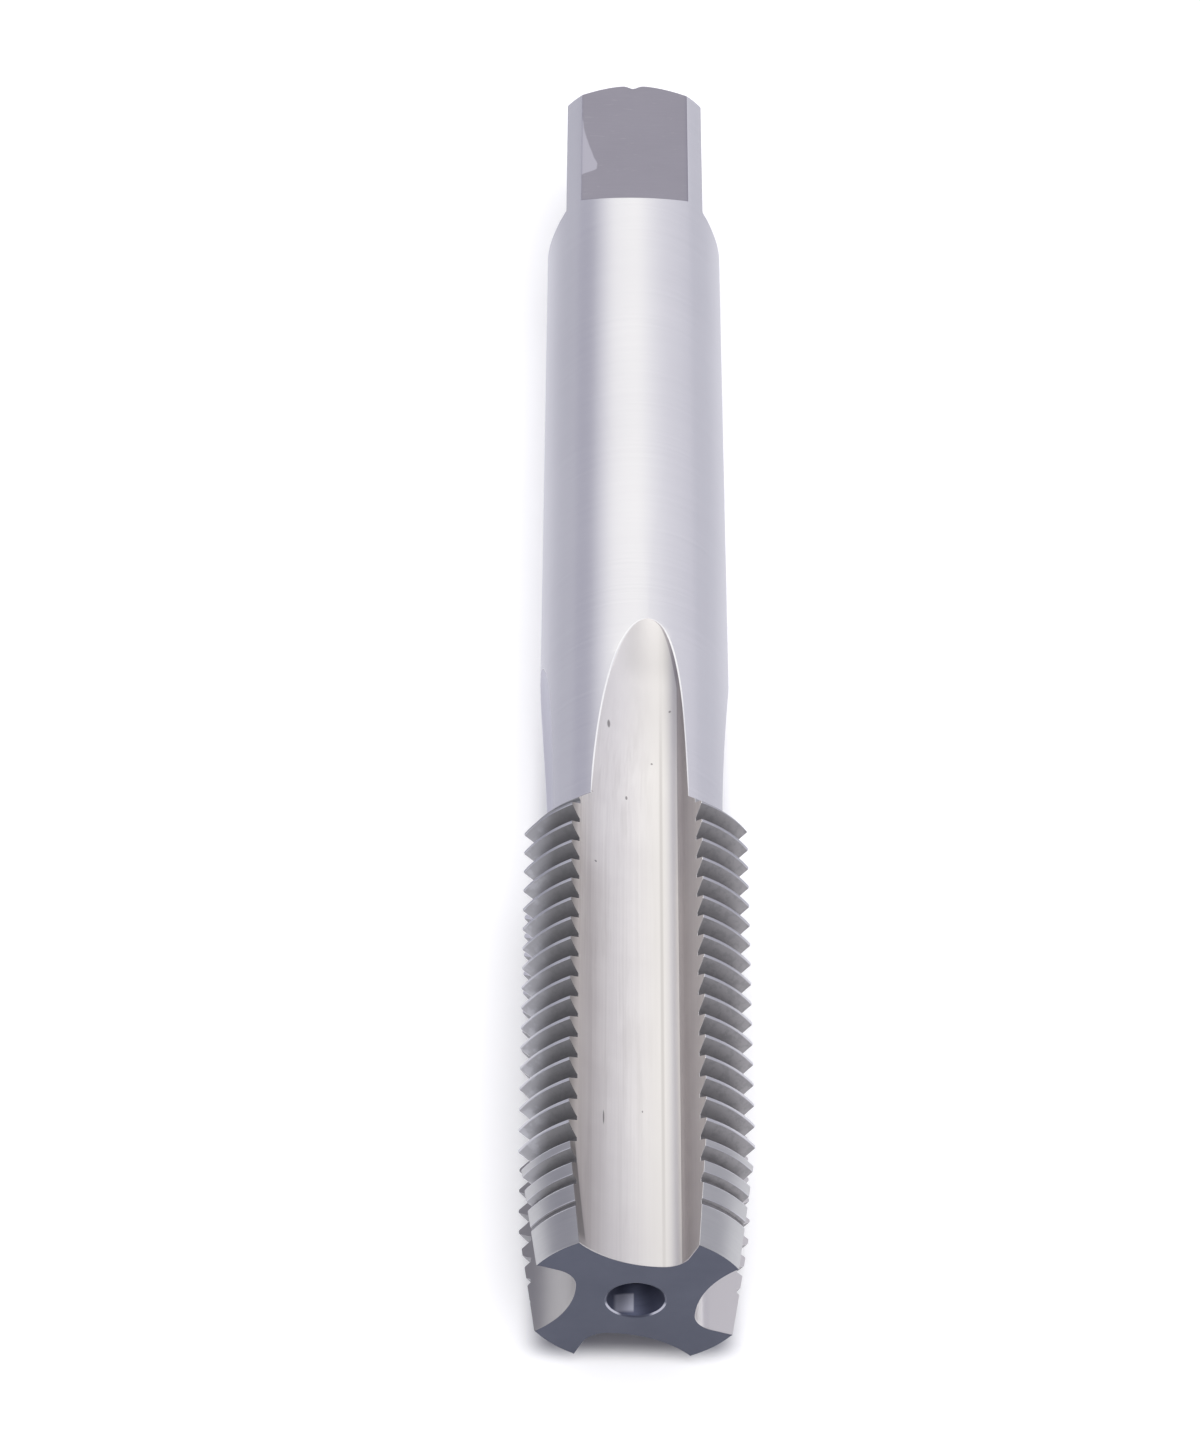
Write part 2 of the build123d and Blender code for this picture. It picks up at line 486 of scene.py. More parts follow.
# %% Break the tip's edge
def tip_break(ring, amount):
    """The first ring, drawn in a little all round."""
    flat = ring[:, [0, 2]]
    tangent = np.roll(flat, -1, 0) - np.roll(flat, 1, 0)
    inward = np.stack([tangent[:, 1], -tangent[:, 0]], 1)
    inward /= np.linalg.norm(inward, axis=1)[:, None]
    result = ring.copy()
    result[:, [0, 2]] += amount * inward
    return result


tip_edge_break = 0.03
fluted_rings[0] = tip_break(fluted_rings[0], tip_edge_break)
all_rings = np.concatenate([fluted_rings, np.array(round_rings)])
print("the tip's edge is broken by", tip_edge_break, "mm")

# %% Name the finish of each face
finish_names = [
    "shank", "square", "flute", "rake", "flank", "back flank", "root", "crest", "lead",
    "edge", "face", "hole", "rim",
]
zone = {name: index for index, name in enumerate(finish_names)}
zone.update({"shoulder": zone["lead"], "foot": zone["square"], "chamfer": zone["lead"]})
ring_surfaces = [name for name, _ in rings] + round_surfaces
around_flute = ["flute"] * (arc_points - 1) + ["rake"] * (flute_points - arc_points)
around_land = ["cutting edge"] + ["land"] * (land_points - 1) + ["heel edge"]
sectors = (around_flute + around_land) * 4


def finish_of(ring, column):
    """The finish of the face that follows a ring at a column."""
    surface, sector = ring_surfaces[ring], sectors[column]
    if ring < len(rings) - 1:
        if sector == "heel edge" and surface != "shank":
            return "root"
        if "edge" in sector:
            return "edge"
        if sector == "land":
            return "crest" if surface == "edge" else surface
        return sector
    if surface in ("square", "foot"):
        return "shank" if sector == "land" else "square"
    return surface


points = [tuple(point) for ring in all_rings for point in ring]
faces, face_zones = [], []
for ring in range(len(all_rings) - 1):
    this, following = ring * ring_size, (ring + 1) * ring_size
    for column in range(ring_size):
        beside = (column + 1) % ring_size
        faces.append((this + column, this + beside, following + beside, following + column))
        face_zones.append(zone[finish_of(ring, column)])
print("faces so far:", len(faces))

# %% [markdown]
# ## The two ends and their centre holes
# Each end has a centre hole, where the lathe and then the grinder carried the bar: a
# 60-degree cone and a small drilled hole below it. The end faces have the outline of the
# flutes or of the square round a hole, a shape that no simple fan of triangles fills,
# so Blender's polygon filler does it.

# %% Drill the centre holes
hole_points = 64
cone_depth = (centre_mouth - centre_drill) / math.tan(math.radians(30))
hole_profile = [(centre_mouth + 0.06, 0.0), (centre_mouth - 0.05, 0.07)]  # the worn rim
for share in (0.3, 0.65, 1):
    radius = centre_mouth - share * (centre_mouth - centre_drill)
    hole_profile.append((radius, share * cone_depth))
hole_profile += [(centre_drill, cone_depth + 0.05), (centre_drill, centre_depth)]
hole_profile += [(centre_drill * 0.5, centre_depth + 0.24)]
drill_tip = centre_depth + 0.48


def centre_hole(station, direction, outline):
    """Drills a centre hole into an end, and fills the end face round it."""
    first = len(points)
    for radius, depth in hole_profile:
        for step in range(hole_points):
            turn = 2 * math.pi * step / hole_points
            along_tap = station + direction * depth
            points.append((radius * math.sin(turn), along_tap, radius * math.cos(turn)))
    points.append((0.0, station + direction * drill_tip, 0.0))
    for row in range(len(hole_profile) - 1):
        this, following = first + row * hole_points, first + (row + 1) * hole_points
        for step in range(hole_points):
            beside = (step + 1) % hole_points
            faces.append((this + step, this + beside, following + beside, following + step))
            face_zones.append(zone["rim" if row == 0 else "hole"])
    deepest = first + (len(hole_profile) - 1) * hole_points
    for step in range(hole_points):
        beside = (step + 1) % hole_points
        faces.append((deepest + step, deepest + beside, len(points) - 1))
        face_zones.append(zone["hole"])
    loops = [outline, list(range(first, first + hole_points))]
    flat = [[Vector((points[i][0], points[i][2], 0)) for i in loop] for loop in loops]
    order = loops[0] + loops[1]
    for triangle in tessellate_polygon(flat):
        faces.append(tuple(order[i] for i in triangle))
        face_zones.append(zone["face"])


last_ring = (len(all_rings) - 1) * ring_size
centre_hole(0.0, 1, list(range(ring_size)))
centre_hole(overall_length, -1, list(range(last_ring, last_ring + ring_size)))
print("faces with both ends:", len(faces))

# %% [markdown]
# ## The nick, and the mesh itself
# The upper edge of the square end has been knocked at some time and carries a small
# nick. It is pushed in with a smooth bell-shaped dent. Then the points move to the tap's
# place on the table and become metres. Faces can be joined in order and still all look
# into the steel, so the volume is measured, and if it is negative they are turned round.

# %% Dent the end and move the points into place
nick_depth, nick_drop = 0.26, 0.06  # along the tap, and down
placed = np.array(points)
across, station, height = placed.T
nick = np.exp(-(((across + 0.1) / 0.42) ** 2)) * eased((station - 100.8) / 0.9)
nick *= eased((height - 4.15) / 0.5)
placed[:, 1] -= nick_depth * nick
placed[:, 2] -= nick_drop * nick
placed[:, 1] -= overall_length / 2
placed[:, 2] += axis_height
print("the nick is", round(nick_depth * float(nick.max()), 2), "mm deep")

# %% Build the mesh
mesh = bpy.data.meshes.new("ground_tap")
mesh.from_pydata((placed / 1000).tolist(), [], faces)
mesh.polygons.foreach_set("material_index", face_zones)
ground_tap = bpy.data.objects.new("ground_tap", mesh)
bpy.context.scene.collection.objects.link(ground_tap)
print("points:", len(mesh.vertices))

# %% Turn the faces outwards and mark the sharp edges
sharp_angle = math.radians(22)
work = bmesh.new()
work.from_mesh(mesh)
bmesh.ops.recalc_face_normals(work, faces=work.faces)
if work.calc_volume(signed=True) < 0:
    bmesh.ops.reverse_faces(work, faces=work.faces)
for join in work.edges:
    join.smooth = join.is_manifold and join.calc_face_angle(0) < sharp_angle
for poly in work.faces:
    poly.smooth = True
open_joins = sum(not join.is_manifold for join in work.edges)
print("volume cm3", round(work.calc_volume(signed=True) * 1e6, 3), "open edges", open_joins)
work.to_mesh(mesh)
work.free()
print("triangles:", sum(len(poly.vertices) - 2 for poly in mesh.polygons))

# %% [markdown]
# ## Shader maths that reads like arithmetic
# A node tree gets hard to follow once it does any sums. This small class wraps one
# socket, so that `1 - mask * 0.5` writes the Math nodes itself. One function adds every
# node: it takes the type, then what the node is set to do, then its inputs.

# %% One function for any node
def add_node(tree, kind, settings=None, inputs=None, output=0):
    """Adds a node, sets it up, fills its inputs and gives back one of its outputs."""
    node = tree.nodes.new(kind)
    for key, value in (settings or {}).items():
        if key == "stops":
            while len(node.color_ramp.elements) < len(value):
                node.color_ramp.elements.new(0.5)
            for element, (position, shade) in zip(node.color_ramp.elements, value):
                element.position, element.color = position, shade
        else:
            setattr(node, key, value)
    for key, value in (inputs or {}).items():
        if isinstance(value, Link):
            tree.links.new(value.socket, node.inputs[key])
        else:
            node.inputs[key].default_value = value
    return Link(tree, node.outputs[output]) if node.outputs else None


print("one function adds every node")

# %% Socket maths
class Link:
    """One output of a node; arithmetic on it adds Math nodes to the same tree."""

    def __init__(self, tree, socket):
        self.tree, self.socket = tree, socket

    def math(self, operation, *values):
        settings = {"operation": operation}
        return add_node(self.tree, "ShaderNodeMath", settings, dict(enumerate(values)))

    def __add__(self, other):
        return self.math("ADD", self, other)

    def __radd__(self, other):
        return self.math("ADD", other, self)

    def __sub__(self, other):
        return self.math("SUBTRACT", self, other)

    def __rsub__(self, other):
        return self.math("SUBTRACT", other, self)

    def __mul__(self, other):
        return self.math("MULTIPLY", self, other)

    def __rmul__(self, other):
        return self.math("MULTIPLY", other, self)

    def __truediv__(self, other):
        return self.math("DIVIDE", self, other)

    def __rtruediv__(self, other):
        return self.math("DIVIDE", other, self)

    def __pow__(self, other):
        return self.math("POWER", self, other)

    def absolute(self):
        return self.math("ABSOLUTE", self)

    def at_least(self, other):
        return self.math("MAXIMUM", self, other)

    def at_most(self, other):
        return self.math("MINIMUM", self, other)

    def step(self, low, high):
        """A smooth rise from 0 to 1 as the value goes from low to high."""
        settings = {"interpolation_type": "SMOOTHSTEP"}
        inputs = {"Value": self, "From Min": low, "From Max": high}
        return add_node(self.tree, "ShaderNodeMapRange", settings, inputs, "Result")


print("socket maths is ready")

# %% [markdown]
# ## Colours and finishes
# Colours are written as they look on a screen, from 0 to 255, and one function turns
# them into the numbers that light adds up in. A finish is a material with a few tools
# of its own. It knows where each point of the steel is, in millimetres from the tip, so
# that wear can be put where it is on the real tap and turns with it.

# %% Colours
def colour(red, green, blue):
    """A screen colour from 0 to 255, turned into the linear values that shaders use."""
    linear = [
        (c / 255 / 12.92) if c <= 10 else ((c / 255 + 0.055) / 1.055) ** 2.4
        for c in (red, green, blue)
    ]
    return (*linear, 1.0)


black, white = colour(0, 0, 0), colour(255, 255, 255)
print("a mid grey of 128 is", round(colour(128, 128, 128)[0], 3), "to a shader")

# %% A finish
class Finish:
    """A material and its node tree."""

    def __init__(self, name):
        self.material = bpy.data.materials.new(name)
        self.material.use_nodes = True
        self.tree = self.material.node_tree
        self.tree.nodes.clear()
        in_metres = self.node("ShaderNodeTexCoord", output="Object")
        from_tip = (0, overall_length / 2, -axis_height)
        self.place = self.node(
            "ShaderNodeVectorMath",
            {"operation": "MULTIPLY_ADD"},
            {0: in_metres, 1: (1000, 1000, 1000), 2: from_tip},
        )
        self.parts = [
            self.node("ShaderNodeSeparateXYZ", {}, {0: self.place}, axis) for axis in range(3)
        ]

    def node(self, kind, settings=None, inputs=None, output=0):
        return add_node(self.tree, kind, settings, inputs, output)

    def stretched(self, across, length):
        """The place in the steel, scaled so that a texture is drawn out along one way."""
        scale = {0: self.place, 1: (across, length, across)}
        return self.node("ShaderNodeVectorMath", {"operation": "MULTIPLY"}, scale)

    def noise(self, where, scale=1.0, detail=2.0, rough=0.5):
        inputs = {"Vector": where, "Scale": scale, "Detail": detail, "Roughness": rough}
        return self.node("ShaderNodeTexNoise", {}, inputs, "Fac")

    def mix(self, share, first, second):
        """Goes from the first colour to the second."""
        inputs = {0: share, 6: first, 7: second}  # the colour sockets of this node
        return self.node("ShaderNodeMix", {"data_type": "RGBA"}, inputs, 2)

    def upper(self):
        """1 on the upper flute and 0 on the others."""
        return self.parts[2].step(2.0, 3.0)

    def sideways(self):
        """1 on the two side flutes and 0 on the upper and lower ones."""
        x, _, height = self.parts
        return (x.absolute() - height.absolute()).step(-0.5, 0.5)

    def surface(self, **inputs):
        """Ends the tree with a surface and gives back the material."""
        named = {}
        for name, value in inputs.items():
            named[name.replace("_", " ").title().replace("Ior", "IOR")] = value
        shader = self.node("ShaderNodeBsdfPrincipled", {}, named)
        self.node("ShaderNodeOutputMaterial", {}, {"Surface": shader})
        return self.material


print("a finish has", len([name for name in vars(Finish) if name[0] != "_"]), "tools")

# %% [markdown]
# ## The finishes of the steel
# All of it is one steel, but no two surfaces were worked in the same way. The shank is
# ground round, so its fine lines run round it. The flutes are ground lengthwise. The
# thread keeps a darker tone on its flanks, and the tip face and the centre holes keep
# the dark skin from hardening. An image of brushed metal could be wrapped round each,
# but noise that is stretched along the grinding needs no unwrapping and has no seam.

# %% Ground steel
class GroundSteel(Finish):
    """Steel with fine grinding lines. Tones of wear and polish are laid over it in turn."""

    def __init__(
        self, name, light, dark, lines, rough, line_depth=1.5e-6, patches=0.12, patch_size=0.35
    ):
        super().__init__(name)
        fine = self.noise(self.stretched(*lines), detail=3.0, rough=0.6)
        cloud = self.noise(self.place, scale=patch_size, detail=3.0)
        tone = (fine - 0.5) * 0.9 + (cloud - 0.5) * (patches * 6) + 0.5
        self.base = self.mix(tone.step(0.0, 1.0), dark, light)
        self.roughness = rough + (fine - 0.5) * 0.08
        bump = {"Height": fine, "Distance": line_depth, "Strength": 1.0}
        self.normal = self.node("ShaderNodeBump", {}, bump)

    def tone(self, share, shade):
        """Lays one more tone over what is there, by a share from 0 to 1."""
        self.base = self.mix(share, self.base, shade)

    def finished(self):
        return self.surface(
            base_color=self.base, metallic=1.0, roughness=self.roughness, normal=self.normal
        )


finishes = {}
print("ground steel is ready")

# %% [markdown]
# ## The flutes
# The wheel leaves long fine lines and a bright polish. Painted shade darkens it towards the
# lands and over its right half, the bottom corner keeps a thin seam, and painted shade
# dulls the run-out on the shank, most on its right side. The two side flutes are painted
# darker near the tip, the left one most, as painted shade.

# %% Polish of the flutes
flute_steel = GroundSteel(
    "polished_flute", colour(250, 247, 243), colour(236, 232, 229), (7.0, 0.08), 0.36, 2e-6
)
x, s, height = flute_steel.parts
upper = flute_steel.upper()
streaks = flute_steel.noise(flute_steel.stretched(2.6, 0.03), detail=2.0, rough=0.6)
flute_steel.tone(streaks.step(0.5, 0.66) * 0.3, colour(222, 218, 214))
smudge = flute_steel.noise(flute_steel.stretched(1.3, 0.1), detail=4.0, rough=0.6)
flute_steel.tone(smudge.step(0.52, 0.68) * 0.3, colour(218, 214, 209))
# Painted shade: the right half of each flute is darker.
flute_steel.tone(x.step(-0.6, 1.6) * 0.85, colour(228, 225, 222))
seam = (1 - (x - foot_x).absolute().step(0.03, 0.15)) * upper
flute_steel.tone(seam * 0.8, colour(206, 202, 199))
lead_left = (1 - s / lead_length).at_least(0.0)
reach = (x * x + height * height) ** 0.5 + lead_left * (thread_radius - tip_radius)
# Painted shade: the flute is darker towards the lands.
flute_steel.tone(reach.step(6.9, 8.0) * 0.9, colour(172, 169, 169))
print("the seam is", round(foot_x, 2), "mm from the middle of the flute")

# %% [markdown]
# ## Wear, and painted shade, in the flutes
# Chips and dirt have marked the upper flute. A dark wedge lies along its trailing edge
# at the tip, and a few specks and drawn-out scratches are scattered down it. Each mark
# is a small soft-edged spot, given by its place, its size and how far it is drawn out.
# The run-out and the side flutes also get painted shade here.

# %% Tones along the flutes
wedge = reach.step(7.36, 7.44) * (1 - x.step(-1.0, 0.0))
wedge = wedge * s.step(0.2, 0.8) * (1 - s.step(6.0, 7.4)) * upper
flute_steel.tone(wedge * 0.9, colour(94, 91, 94))
flute_steel.tone((1 - s.step(-4.0, 16.0)) * 0.55, colour(206, 203, 202))
# Painted shade on the run-out: darker on its right side, and darker still near its point.
painted_run_out_shade = flute_steel.mix(x.step(-1.2, 0.8), colour(236, 233, 231), colour(212, 209, 207))
flute_steel.tone(s.step(35.0, 43.0) * 0.8, painted_run_out_shade)
flute_steel.tone(s.step(43.0, 45.0) * x.step(-1.5, 0.0) * 0.4, colour(188, 185, 183))
# Painted shade on the side flutes: the left one darker than the right near the tip, and further
# along a pale bluish tone that stands for the room mirrored in the shank.
painted_side_shade = flute_steel.mix(x.step(-1.0, 1.0), colour(158, 156, 157), colour(204, 202, 202))
painted_side_shade = flute_steel.mix(s.step(12.0, 30.0), painted_side_shade, colour(226, 225, 231))
flute_steel.tone(flute_steel.sideways(), painted_side_shade)
print("flute tones run from the tip to", round(run_out_end, 1), "mm")

# %% Specks and scratches
marks = [  # across, station, size, drawn out along the flute
    (-1.73, 39.74, 0.12, 3.0),
    (2.15, 41.3, 0.1, 1.0),
    (1.0, 37.46, 0.09, 1.0),
    (-0.6, 34.57, 0.09, 2.0),
    (-2.5, 28.7, 0.09, 1.0),
    (-2.93, 34.0, 0.3, 0.2),
    (-1.95, 9.7, 0.055, 11.0),
    (0.35, 10.8, 0.05, 2.0),
]


def spot(across, station, size, stretch):
    """1 inside a small mark on the upper flute, fading to 0 round it."""
    x, s, _ = flute_steel.parts
    away = ((x - across) ** 2 + ((s - station) * (1 / stretch)) ** 2) ** 0.5
    return (1 - away.step(size * 0.5, size)) * upper


dirt = spot(*marks[0])
for mark in marks[1:]:
    dirt = dirt.at_least(spot(*mark))
flute_steel.tone(dirt * 0.7, colour(104, 100, 100))
finishes["flute"] = flute_steel.finished()
print("marks in the flute:", len(marks))

# %% [markdown]
# ## The cutting faces
# The face of each tooth is ground flat and duller than the polished arcs beside it. On
# the side flutes it is painted lighter, a painted reflection of the room.

# %% The cutting faces
rake_steel = GroundSteel(
    "ground_rake", colour(180, 175, 176), colour(164, 159, 161), (7.0, 0.08), 0.32, 2e-6
)
# Painted reflection: the cutting faces of the side flutes are lighter.
rake_steel.tone(rake_steel.sideways() * 0.9, colour(212, 209, 210))
finishes["rake"] = rake_steel.finished()
print("cutting faces on", len(flute_centres), "lands")

# %% [markdown]
# ## The square
# The flats are milled, with faint lines across. The jaws of a wrench have rubbed a
# bright wedge into one side of the upper flat: wide near the foot, and narrow towards
# the end. Its width is worked out from the station, and a little noise frays its edge.

# %% The square
square_steel = GroundSteel(
    "milled_square", colour(152, 149, 160), colour(147, 144, 155), (0.4, 7.0), 0.36, 6e-7
)
x, s, height = square_steel.parts
worn_start, worn_end = 92.1, 98.7  # stations of the rubbed wedge
fray = (square_steel.noise(square_steel.place, 1.6) - 0.5) * 0.12
taper = ((worn_end - s) / 5.3).at_least(0.0).at_most(1.0)
worn_width = taper**1.6 * 1.1 * (s - worn_start).step(0, 0.8) + fray
worn = (worn_width - x - 3.78).step(-0.05, 0.07) * height.step(4.0, 4.5)
scratch = square_steel.noise(square_steel.stretched(1.0, 3.5), detail=4.0, rough=0.7)
square_steel.tone(scratch.step(0.6, 0.7) * 0.4, colour(164, 161, 170))
square_steel.tone(worn * 0.9, colour(182, 180, 192))
finishes["square"] = square_steel.finished()
print("the rubbed wedge is", round(worn_end - worn_start, 1), "mm long")

# %% [markdown]
# ## The flanks of the thread
# The flanks are dull, because the thread was ground with a fine matt wheel and oil has
# stained it, and their dark grey is partly painted shade of the narrow groove. They are
# painted a little lighter to the right, and the far left ends paler and mottled, as painted
# light. The roots take the same recipe a shade darker, painted shade deep in the groove
# along with more dirt.

# %% The flanks of the thread
def flank_steel(name, shade):
    """Dull flanks of one shade of grey."""
    # The grey of the flanks is partly painted shade of the narrow groove.
    left = colour(shade - 9, shade - 10, shade - 8)
    right = colour(shade + 7, shade + 5, shade + 7)
    steel = GroundSteel(name, left, left, (0.4, 16.0), 0.55)
    x, _, _ = steel.parts
    # Painted light: the flanks are lighter towards the right.
    steel.tone(x.step(-6.0, 7.0), right)
    speckle = steel.noise(steel.place, scale=2.2, detail=4.0, rough=0.7)
    steel.tone(speckle.step(0.45, 0.62) * 0.35, colour(shade - 25, shade - 25, shade - 23))
    # Painted light: the far left ends are paler, with mottles.
    stain = steel.noise(steel.place, scale=1.1, detail=3.0, rough=0.6).step(0.5, 0.66)
    painted_light_far_left = 1 - x.step(-6.2, -4.9)
    steel.tone(painted_light_far_left * (stain * 0.35 + 0.5), colour(shade + 38, shade + 38, shade + 43))
    return steel.finished()


finishes["flank"] = flank_steel("ground_flank", 150)
finishes["back flank"] = flank_steel("ground_back_flank", 150)
# Painted shade: the roots are a shade darker, deep in the groove, along with more dirt.
finishes["root"] = flank_steel("thread_root", 130)
print("flank finishes: 3")

# %% [markdown]
# ## The crests
# The crests are what is left of the bar's ground outside, so they are brighter than the
# flanks. They are painted darker far to the left and over the lands on the right, as painted
# shade.

# %% The crests
crest_steel = GroundSteel(
    "thread_crest", colour(224, 224, 228), colour(210, 210, 215), (0.4, 12.0), 0.34
)
x, _, _ = crest_steel.parts
# Painted shade: the crests are darker far to the left and over the lands on the right.
painted_shade_outer_ends = (1 - x.step(-5.6, -4.4)).at_least(x.step(0.0, 3.0))
crest_steel.tone(painted_shade_outer_ends * 0.9, colour(190, 190, 196))
finishes["crest"] = crest_steel.finished()
print("crests are ready")

# %% [markdown]
# ## The centre holes
# The cones kept their dark skin. The cone at the tip has one painted highlight, a lighter
# facet on its lower left wall, and each rim has painted highlights at its lower left and lower
# right.

# %% The centre holes
hole_steel = GroundSteel(
    "hardened_centre", colour(80, 83, 100), colour(68, 71, 88), (0.4, 10.0), 0.55, 1e-6
)
x, s, height = hole_steel.parts
down_cone = s * 0.75 + height * 0.66  # a line across the near side of the cone
# Painted highlight: a lighter facet on the lower left of the cone at the tip.
painted_facet_highlight = (x + 1.35).step(0, 0.3) * (1 - (x + 0.14).step(0, 0.1))
painted_facet_highlight = painted_facet_highlight * (1 - down_cone.step(0.1, 0.25)) * down_cone.step(-0.95, -0.7)
hole_steel.tone(painted_facet_highlight * 0.8, colour(150, 151, 163))
finishes["hole"] = hole_steel.finished()

rim_steel = GroundSteel(
    "centre_rim", colour(92, 95, 110), colour(84, 87, 102), (0.4, 10.0), 0.3, 1e-6
)
x, _, height = rim_steel.parts
# Painted highlights on the rim's lower left and lower right.
painted_rim_highlight = (x.absolute() - 0.75).step(0, 0.35) * (1 - (height + 0.55).step(0, 0.4))
rim_steel.tone(painted_rim_highlight, colour(172, 173, 184))
finishes["rim"] = rim_steel.finished()
print("centre holes are ready")

# %% [markdown]
# ## The plain surfaces
# The shank, the turned lead and chamfers, the broken edges and the dark tip face carry
# nothing but their grinding lines and soft patches. The shank is the smoothest of all,
# so the room's light draws clear bands along it.

# %% The plain surfaces
plain_surfaces = {  # name, light and dark tone, lines, roughness, depth of the lines
    "shank": (
        "ground_shank", colour(237, 236, 238), colour(229, 228, 231), (0.12, 9.0), 0.25, 5e-7,
        0.14, 0.11,
    ),
    "lead": ("turned_lead", colour(185, 185, 186), colour(176, 176, 178), (0.4, 8.0), 0.34, 1e-6),
    "edge": ("broken_edge", colour(250, 250, 250), colour(240, 240, 242), (0.4, 4.0), 0.25, 1e-6),
    "face": ("hardened_face", colour(88, 91, 104), colour(79, 82, 95), (0.5, 0.5), 0.42, 1e-6),
}
for name, recipe in plain_surfaces.items():
    finishes[name] = GroundSteel(*recipe).finished()
print("plain surfaces:", ", ".join(plain_surfaces))

# %% [markdown]
# ## The detailed tap takes its place
# The frame holds a plain copy of the tap. The detailed mesh replaces that copy and rides
# on the same body. Modifiers on the plain copy could not have given it climbing rings and
# a finish for every face. The finishes go on in the order that the faces were numbered in.

# %% Put the finishes on the tap
for name in finish_names:
    mesh.materials.append(finishes[name])
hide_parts("tap")
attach(ground_tap, "root")
print("finishes:", len(finishes))

# %% [markdown]
# ## The table
# A pale sheet carries the tap. It keeps the soft shadow, and it glows a little towards
# the camera and in reflections, so that it reads as white without any more light on the
# steel. In a strip under the tap, from the tip to past the thread, the paper is painted
# darker and its glow is left out: a painted shadow.

# %% The table
table_half = 2.5  # metres
table_glow = 0.22  # 1 would be a white of its own
floor_mesh = bpy.data.meshes.new("table")
floor_corners = [(-1, -1), (1, -1), (1, 1), (-1, 1)]
floor_mesh.from_pydata(
    [(table_half * x, table_half * y, 0) for x, y in floor_corners], [], [(0, 1, 2, 3)]
)
table = bpy.data.objects.new("table", floor_mesh)
bpy.context.scene.collection.objects.link(table)
print("the table is", 2 * table_half, "m wide")

# %% The paper on the table
paper = Finish("white_table")
grain = paper.noise(paper.place, scale=0.05, detail=2.0)
pale = paper.mix(grain, colour(238, 238, 240), colour(242, 242, 244))
x, s, _ = paper.parts
# Painted shadow: a strip under the tap where the paper is painted darker and its glow is left
# out.
painted_shadow = (1 - x.absolute().step(4.5, 7.0)) * (s - 0.2).step(0, 1.5) * (1 - s.step(30, 60))
ray_kinds = ("Is Camera Ray", "Is Glossy Ray", "Is Transmission Ray")
to_camera, to_mirror, to_glass = (
    paper.node("ShaderNodeLightPath", output=kind) for kind in ray_kinds
)
seen = to_camera.at_least(to_mirror.at_least(to_glass))  # 1 where it is looked at, else 0
table_finish = paper.surface(
    base_color=paper.mix(painted_shadow * 0.8, pale, colour(140, 140, 152)),
    roughness=0.9,
    specular_ior_level=0.1,
    emission_color=paper.mix(seen * (1 - painted_shadow), black, white),
    emission_strength=table_glow,
)
floor_mesh.materials.append(table_finish)
print("the table glows with", table_glow, "where it is looked at")

# %% [markdown]
# ## Light
# Round bright metal shows its surroundings more than its own colour. So the room is
# drawn as soft bands that run along the tap: bright straight above, which makes the long
# highlight on the shank, and dimmer to each side. Below the front it is darker still,
# and that is what the tip face and the flanks mirror. One weak lamp gives the shadow.

# %% The room
levels = [  # degrees round the tap from straight up, and how bright the room is there
    (-180, 0.85), (-133, 0.72), (-105, 0.49), (-58, 0.455), (-43, 0.76), (-27, 1.03),
    (4, 1.10), (22, 0.93), (40, 0.80), (60, 0.74), (90, 0.66), (115, 0.64), (140, 0.74),
    (180, 0.85),
]


def room_light(level):
    """The colour of one level of light: a little bluer where it is dimmer."""
    return (level * 0.995, level * 0.99, level * (1 + 0.28 * (1.03 - level)), 1)


world = bpy.data.worlds.new("studio")
bpy.context.scene.world = world
world.use_nodes = True
room = world.node_tree
room.nodes.clear()
toward = add_node(room, "ShaderNodeTexCoord", output="Generated")
side, back, height = (
    add_node(room, "ShaderNodeSeparateXYZ", {}, {0: toward}, axis) for axis in range(3)
)
round_axis = side.math("ARCTAN2", side, height) / (2 * math.pi) + 0.5
stops = [(turn / 360 + 0.5, room_light(level)) for turn, level in levels]
bands = add_node(room, "ShaderNodeValToRGB", {"stops": stops}, {0: round_axis})
low_front = (0.15 - back).step(0.0, 0.4) * (0.55 - height).step(0.0, 0.45)
dim = (0.32, 0.32, 0.345, 1)
light = add_node(
    room, "ShaderNodeMix", {"data_type": "RGBA"}, {0: low_front, 6: bands, 7: dim}, 2
)
backdrop = add_node(room, "ShaderNodeBackground", {}, {"Color": light})
add_node(room, "ShaderNodeOutputWorld", {}, {"Surface": backdrop})
print("bands of light:", len(levels))

# %% The lamp
lamp = bpy.data.lights.new("overhead", "AREA")
lamp.shape, lamp.size, lamp.size_y = "RECTANGLE", 0.5, 0.5
lamp.energy = 3.0
softbox = bpy.data.objects.new("overhead", lamp)
softbox.location = (0.12, -0.25, 0.85)
softbox.rotation_euler = (-softbox.location).to_track_quat("-Z", "Y").to_euler()
bpy.context.scene.collection.objects.link(softbox)
print("one lamp of", lamp.energy, "W")

# %% [markdown]
# ## Two grey cards
# On a white table the edges of a bright round bar melt into the background. The usual
# cure is a pair of low grey cards, one on each side of the bar. The metal mirrors them
# along its edges, so the outline reads. They are part of the studio, not of the tap, and
# they only show in reflections.

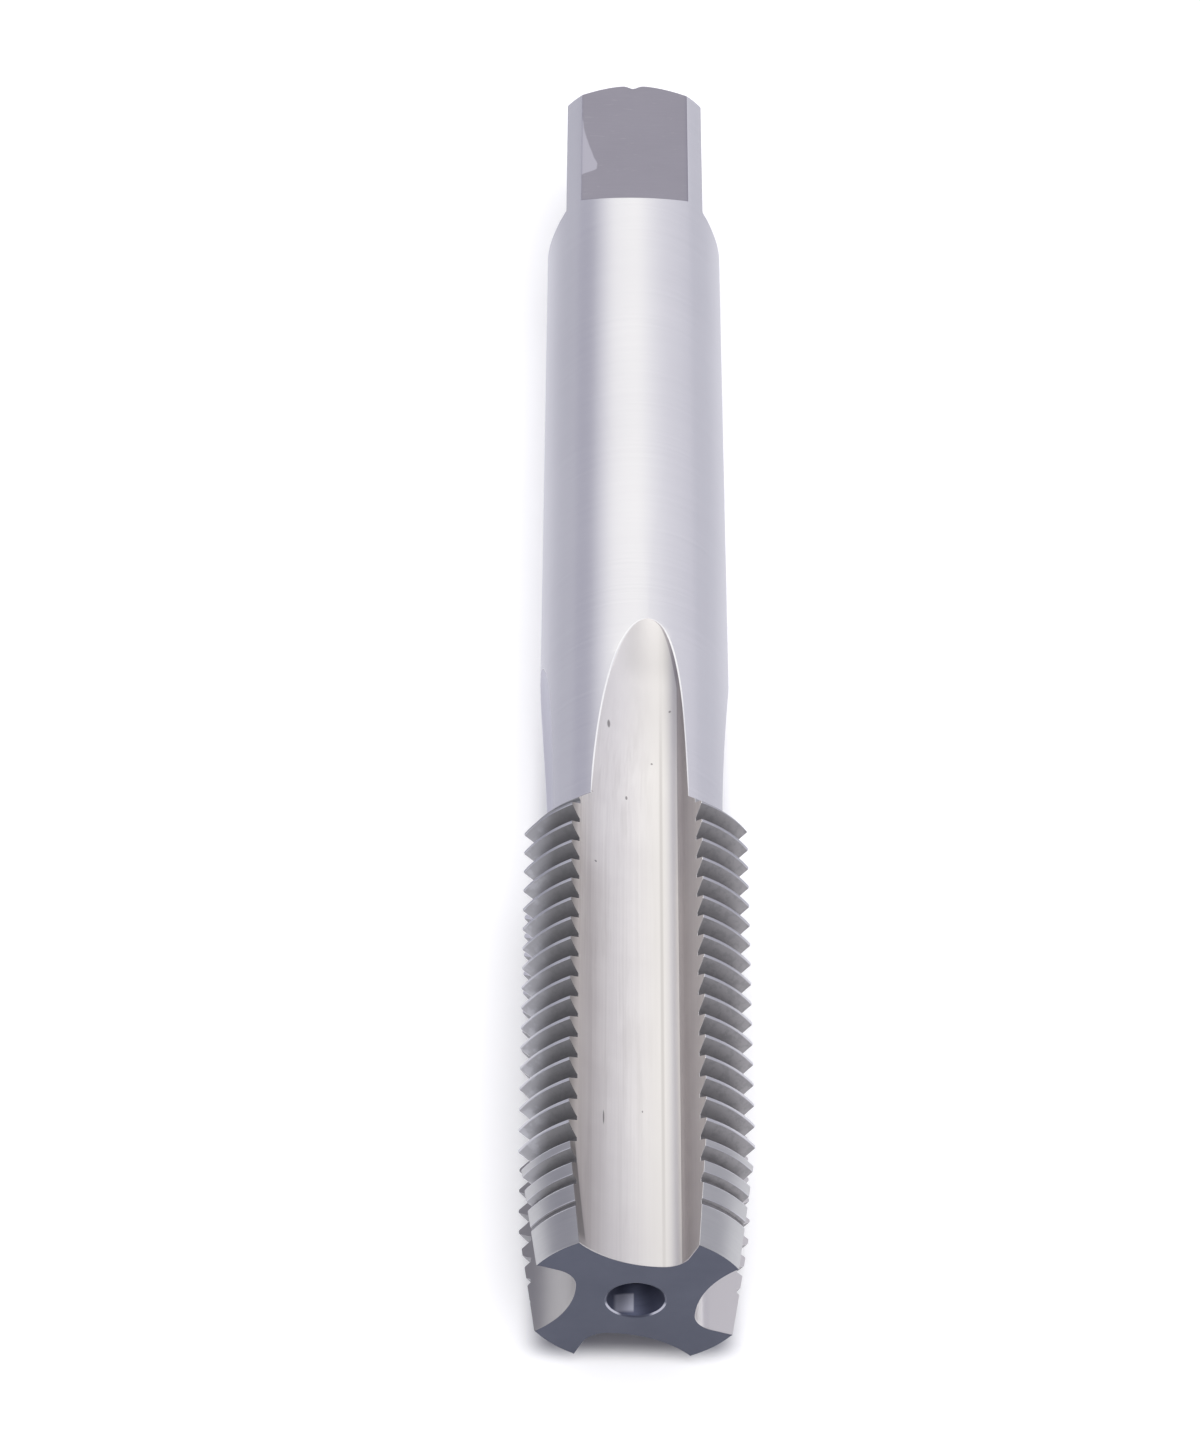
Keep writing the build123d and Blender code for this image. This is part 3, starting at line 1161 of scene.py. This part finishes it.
# %% Reflection cards
card_curve = [(7.4, 0.3), (11.0, 0.6), (17.0, 2.0), (23.0, 6.0), (26.0, 16.0)]  # mm
card_ends = (-0.015, 0.15)  # metres along the tap, from its middle


def card(name, toward, near, far):
    """A curved grey strip beside the shank: lighter by the steel, darker further out."""
    corners = [(toward * x / 1000, y, z / 1000) for x, z in card_curve for y in card_ends]
    strips = [(2 * i, 2 * i + 1, 2 * i + 3, 2 * i + 2) for i in range(len(card_curve) - 1)]
    sheet = bpy.data.meshes.new(name)
    sheet.from_pydata(corners, [], strips)
    grey = Finish(name + "_grey")
    # The cards are black and glow their own grey, a painted reflection that is lighter by the
    # steel and darker further out.
    shade = grey.mix((grey.parts[0] * toward).step(7.0, 24.0), near, far)
    sheet.materials.append(
        grey.surface(
            base_color=black, roughness=1.0, emission_color=shade, emission_strength=1.0
        )
    )
    strip = bpy.data.objects.new(name, sheet)
    bpy.context.scene.collection.objects.link(strip)
    strip.visible_camera = strip.visible_diffuse = strip.visible_shadow = False


card("left_card", -1, (0.72, 0.72, 0.79, 1), (0.52, 0.52, 0.59, 1))
card("right_card", 1, (0.74, 0.74, 0.81, 1), (0.60, 0.60, 0.67, 1))
print("two reflection cards")

# %% [markdown]
# ## The camera
# The tap is seen from the tip end, from a little more than half-way up, through a long
# lens. A Track To constraint could aim the camera, but it would keep the horizon level.
# Here the camera first looks straight down, and three turns aim it: it is rolled a
# little, tilted up, and turned to its bearing.

# %% The camera
bearing, tilt, roll = 0.5622, 41.1986, 1.043  # degrees
stand = Vector((-3.9937, -185.0508, 211.2319)) / 1000
lens = bpy.data.cameras.new("camera")
lens.lens, lens.sensor_width, lens.clip_start = 104.81, 36.0, 0.01
camera = bpy.data.objects.new("camera", lens)
turns = ((-bearing, "Z"), (tilt, "X"), (roll, "Z"))
camera.matrix_world = Matrix.Translation(stand)
for angle, axis in turns:
    camera.matrix_world @= Matrix.Rotation(math.radians(angle), 4, axis)
bpy.context.scene.collection.objects.link(camera)
bpy.context.scene.camera = camera
bpy.context.scene.view_settings.view_transform = "Standard"
print("camera stands", round(camera.location.length * 1000), "mm away")

# %% [markdown]
